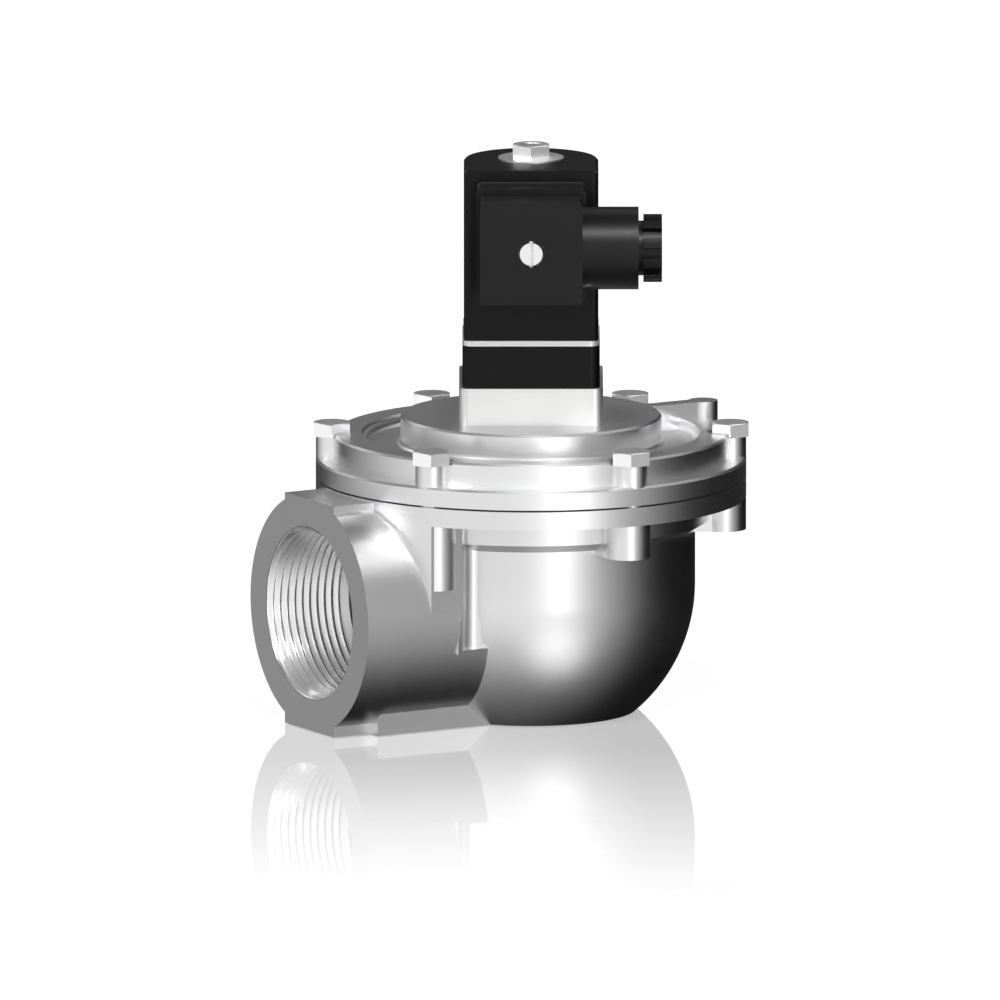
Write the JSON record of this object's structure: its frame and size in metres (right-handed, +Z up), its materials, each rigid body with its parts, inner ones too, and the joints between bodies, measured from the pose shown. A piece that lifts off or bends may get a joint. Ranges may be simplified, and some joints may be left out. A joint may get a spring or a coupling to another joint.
{
  "type": "pulse valve",
  "caption": "Right-angle diaphragm pulse valve with flanged cover, solenoid pilot on top, square plug connector and cable gland.",
  "frame": {"origin": "centre of the outlet's mouth, on the plane of the body's base", "axes": "+Z up along the diaphragm's axis, -X out of the inlet, Y across"},
  "size_m": [0.129, 0.1207, 0.1567],
  "materials": {
    "body_casting": "satin",
    "cover_casting": "satin",
    "plated_steel": "bright zinc plate",
    "plate_steel": "satin",
    "rivet_steel": "satin",
    "dark_steel": "black oxide",
    "tube_steel": "satin",
    "core_steel": "satin",
    "spring_steel": "bright",
    "base_aluminium": "light satin",
    "copper": "enamelled wire",
    "tin": "tinned",
    "membrane_rubber": "matt",
    "disc_rubber": "matt",
    "seal_rubber": "matt",
    "gasket_rubber": "matt",
    "coil_plastic": "black moulded resin",
    "block_plastic": "black",
    "plug_plastic": "black polyamide",
    "insert_plastic": "grey",
    "bobbin_plastic": "natural"
  },
  "bodies": {
    "valve": {"valve_body": "body_casting", "cover": "cover_casting", "cover_bolts": "plated_steel", "membrane": "membrane_rubber", "main_spring": "spring_steel", "pilot_base": "base_aluminium", "base_seal": "seal_rubber", "clamp_block": "block_plastic", "clamp_screws": "dark_steel", "guide_tube": "tube_steel", "tube_seal": "seal_rubber", "fixed_core": "core_steel", "shading_ring": "copper", "plunger_spring": "spring_steel", "coil_washer": "plated_steel", "coil_nut": "plated_steel"},
    "diaphragm": {"valve_disc": "disc_rubber", "top_plate": "plate_steel", "centre_rivet": "rivet_steel"},
    "armature": {"plunger": "core_steel", "plunger_seal": "seal_rubber"},
    "coil": {"coil_housing": "coil_plastic", "coil_bobbin": "bobbin_plastic", "coil_winding": "copper", "yoke_can": "core_steel", "yoke_plate": "plated_steel", "terminal_blades": "tin", "plug_gasket": "gasket_rubber", "plug_shell": "plug_plastic", "terminal_block": "insert_plastic", "plug_screw": "plated_steel", "screw_seal": "seal_rubber", "gland_screw": "plug_plastic", "gland_washer": "tin", "gland_grommet": "seal_rubber"}
  },
  "joints": [
    {"name": "diaphragm_lift", "type": "slide", "parent": "valve", "child": "diaphragm", "axis": [0, 0, 1], "range_m": [0, 0.0075], "stiffness_N_per_m": 1000, "springref_m": -0.012, "deforming": ["main_spring", "membrane"]},
    {"name": "plunger_lift", "type": "slide", "parent": "valve", "child": "armature", "axis": [0, 0, 1], "range_m": [0, 0.0018], "stiffness_N_per_m": 400, "springref_m": -0.006, "deforming": ["plunger_spring"]},
    {"name": "coil_swivel", "type": "hinge", "parent": "valve", "child": "coil", "pos_m": [0, 0, 0.1056], "axis": [0, 0, 1], "continuous": true}
  ]
}
